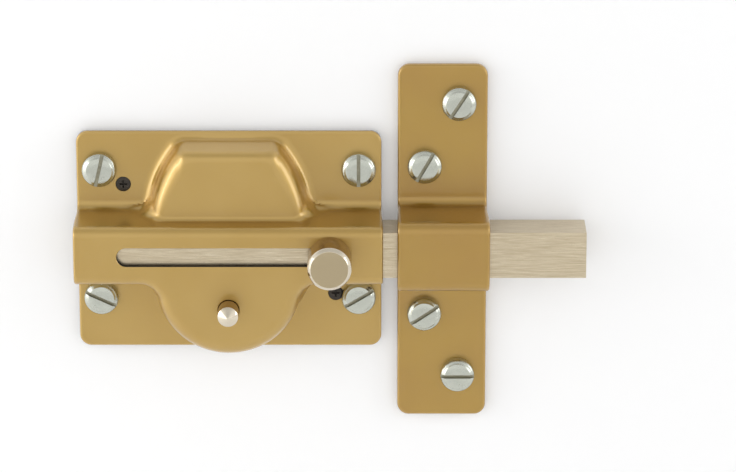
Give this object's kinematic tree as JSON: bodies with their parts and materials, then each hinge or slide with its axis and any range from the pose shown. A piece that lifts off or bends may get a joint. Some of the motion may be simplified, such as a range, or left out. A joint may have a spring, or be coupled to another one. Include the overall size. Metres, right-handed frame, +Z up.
{
  "type": "surface sliding bolt",
  "caption": "Surface-mounted sliding door bolt: stamped gilt case, square steel bar thrown by a knob, push-to-lock button and a separate bridge keeper.",
  "frame": {"origin": "on the back plate's rear face, which is the door's surface, in the middle of the case's width and on the bar's centre line", "axes": "+Y into the door, -Y out towards the user, +Z up, +X the way the bar is thrown"},
  "size_m": [0.1657, 0.0556, 0.1197],
  "materials": {
    "gilt_lacquer": "gold-coloured satin lacquer over stamped steel",
    "brushed_nickel": "warm nickel plate, brushed",
    "zinc_plate": "bright zinc plate",
    "black_oxide": "black, semi-matt",
    "plain_steel": "plain cold-rolled steel",
    "spring_steel": "blued spring steel",
    "nylon": "natural nylon"
  },
  "bodies": {
    "case": {"case_cover": "gilt_lacquer", "back_plate": "plain_steel", "bar_guide_left": "plain_steel", "bar_guide_right": "plain_steel", "case_screw_upper_left": "zinc_plate", "case_screw_upper_right": "zinc_plate", "case_screw_lower_left": "zinc_plate", "case_screw_lower_right": "zinc_plate", "cover_screw_upper": "black_oxide", "cover_screw_lower": "black_oxide", "keeper": "gilt_lacquer", "keeper_screw_top": "zinc_plate", "keeper_screw_upper": "zinc_plate", "keeper_screw_lower": "zinc_plate", "keeper_screw_bottom": "zinc_plate", "brake_bracket": "plain_steel", "brake_shoe": "nylon", "brake_spring": "spring_steel", "brake_rivet_left": "plain_steel", "brake_rivet_right": "plain_steel", "lever_bracket": "plain_steel", "lever_pin": "plain_steel", "lever_rivet_left": "plain_steel", "lever_rivet_right": "plain_steel", "detent_spring": "spring_steel", "detent_rivet": "plain_steel"},
    "bar": {"bolt_bar": "brushed_nickel", "knob": "brushed_nickel", "knob_stud": "plain_steel"},
    "button": {"push_button": "brushed_nickel", "button_clip": "spring_steel"},
    "lever": {"catch_lever": "plain_steel"}
  },
  "joints": [
    {"name": "bar_slide", "type": "slide", "parent": "case", "child": "bar", "axis": [-1, 0, 0], "range_m": [0, 0.0656]},
    {"name": "button_push", "type": "slide", "parent": "case", "child": "button", "axis": [0, 1, 0], "range_m": [0, 0.003]},
    {"name": "lever_turn", "type": "hinge", "parent": "case", "child": "lever", "pos_m": [0, -0.012, -0.011], "axis": [1, 0, 0], "range_deg": [0, 27]}
  ],
  "couplings": [
    {"joint": "lever_turn", "follows": "button_push", "rad_per_m": 156.67}
  ]
}
